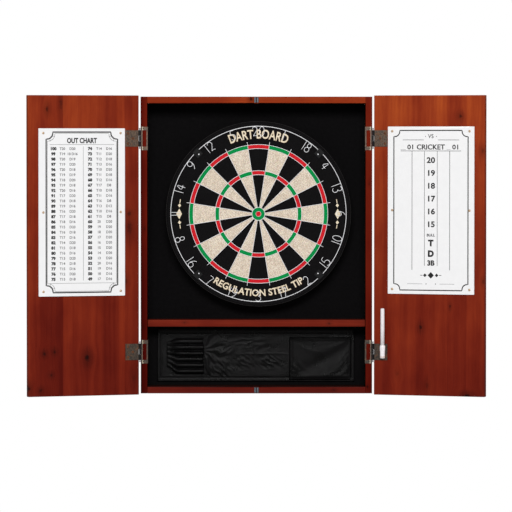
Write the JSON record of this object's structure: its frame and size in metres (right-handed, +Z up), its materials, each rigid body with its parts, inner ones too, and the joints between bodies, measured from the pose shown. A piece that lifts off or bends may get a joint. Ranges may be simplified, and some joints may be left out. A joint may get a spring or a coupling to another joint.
{
  "type": "dart board cabinet",
  "caption": "Wall-hung wooden cabinet with two scoreboard doors on frame hinges, a bristle dart board with number ring, a fabric organizer bay and a dry-wipe marker.",
  "frame": {"origin": "middle of the case's flat wall face", "axes": "+Y points into the wall, so the open front faces -Y; +X is right as seen from the front; +Z is up"},
  "size_m": [1.1158, 0.1812, 0.732],
  "materials": {
    "stained_pine": "satin cherry stain over knotty pine, grain along the boards",
    "hardboard": "plain brown fibreboard",
    "black_felt": "matte black felt",
    "antique_brass": "dull antique brass with darker edges",
    "brass_pin": "satin brass",
    "white_scoreboard": "white dry-wipe gloss with black print",
    "bristle": "compressed sisal fibre, dyed black, cream, red and green in beds",
    "black_steel": "black painted steel strip",
    "bright_wire": "bright galvanised wire",
    "black_plastic": "moulded black plastic",
    "rubber_foot": "soft black rubber",
    "zinc_steel": "dull zinc plate",
    "black_nylon": "thin coated black nylon with a soft sheen",
    "white_plastic": "smooth white plastic",
    "marker_felt": "black felt tip"
  },
  "bodies": {
    "case": {"accessory_pocket": "black_nylon", "back_panel": "hardboard", "bay_divider": "stained_pine", "bottom_board": "stained_pine", "dart_sleeves": "black_nylon", "hinge_lower_left_case_leaf": "antique_brass", "hinge_lower_left_pin": "antique_brass", "hinge_lower_right_case_leaf": "antique_brass", "hinge_lower_right_pin": "antique_brass", "hinge_upper_left_case_leaf": "antique_brass", "hinge_upper_left_pin": "antique_brass", "hinge_upper_right_case_leaf": "antique_brass", "hinge_upper_right_pin": "antique_brass", "lower_bay_lining": "black_felt", "magnetic_catch_bottom": "zinc_steel", "magnetic_catch_top": "zinc_steel", "organizer_sheet": "black_nylon", "side_board_left": "stained_pine", "side_board_right": "stained_pine", "top_board": "stained_pine", "upper_bay_lining": "black_felt", "wall_bracket": "zinc_steel"},
    "door_left": {"door_left": "stained_pine", "scoreboard_left": "white_scoreboard", "scoreboard_pin_left_1": "brass_pin", "scoreboard_pin_left_2": "brass_pin", "scoreboard_pin_left_3": "brass_pin", "scoreboard_pin_left_4": "brass_pin", "scoreboard_pin_left_5": "brass_pin", "scoreboard_pin_left_6": "brass_pin", "hinge_lower_left_door_leaf": "antique_brass", "hinge_upper_left_door_leaf": "antique_brass"},
    "door_right": {"door_right": "stained_pine", "scoreboard_right": "white_scoreboard", "scoreboard_pin_right_1": "brass_pin", "scoreboard_pin_right_2": "brass_pin", "scoreboard_pin_right_3": "brass_pin", "scoreboard_pin_right_4": "brass_pin", "scoreboard_pin_right_5": "brass_pin", "scoreboard_pin_right_6": "brass_pin", "hinge_lower_right_door_leaf": "antique_brass", "hinge_upper_right_door_leaf": "antique_brass"},
    "hanger": {"hanger_bolt": "zinc_steel"},
    "dartboard": {"bull_wire": "bright_wire", "dartboard_backing": "hardboard", "dartboard_band": "black_steel", "dartboard_fibre": "bristle", "dartboard_foot_1": "rubber_foot", "dartboard_foot_2": "rubber_foot", "dartboard_foot_3": "rubber_foot", "number_ring_clip_1": "black_plastic", "number_ring_clip_2": "black_plastic", "number_ring_clip_3": "black_plastic", "number_ring_clip_4": "black_plastic", "wire_spider": "bright_wire"},
    "number_ring": {"number_ring": "bright_wire"},
    "marker_cap": {"marker_cap": "white_plastic"},
    "marker_barrel": {"marker_barrel": "white_plastic", "marker_tip": "marker_felt"}
  },
  "joints": [
    {"name": "door_left_swing", "type": "hinge", "parent": "case", "child": "door_left", "pos_m": [-0.285, -0.0855, 0], "axis": [0, 0, 1], "range_deg": [-20, 160]},
    {"name": "door_right_swing", "type": "hinge", "parent": "case", "child": "door_right", "pos_m": [0.285, -0.0855, 0], "axis": [0, 0, -1], "range_deg": [-20, 160]},
    {"name": "board_lift", "type": "slide", "parent": "case", "child": "hanger", "axis": [0, 0, 1], "range_m": [0, 0.025]},
    {"name": "board_turn", "type": "hinge", "parent": "hanger", "child": "dartboard", "pos_m": [0.005, -0.03, 0.076], "axis": [0, 1, 0], "continuous": true},
    {"name": "number_ring_turn", "type": "hinge", "parent": "dartboard", "child": "number_ring", "pos_m": [0.005, -0.062, 0.076], "axis": [0, 1, 0], "continuous": true},
    {"name": "marker_lift", "type": "slide", "parent": "door_right", "child": "marker_cap", "axis": [0, 0, 1], "range_m": [0, 0.045]},
    {"name": "marker_uncap", "type": "slide", "parent": "marker_cap", "child": "marker_barrel", "axis": [0, 0, 1], "range_m": [0, 0.05]}
  ]
}
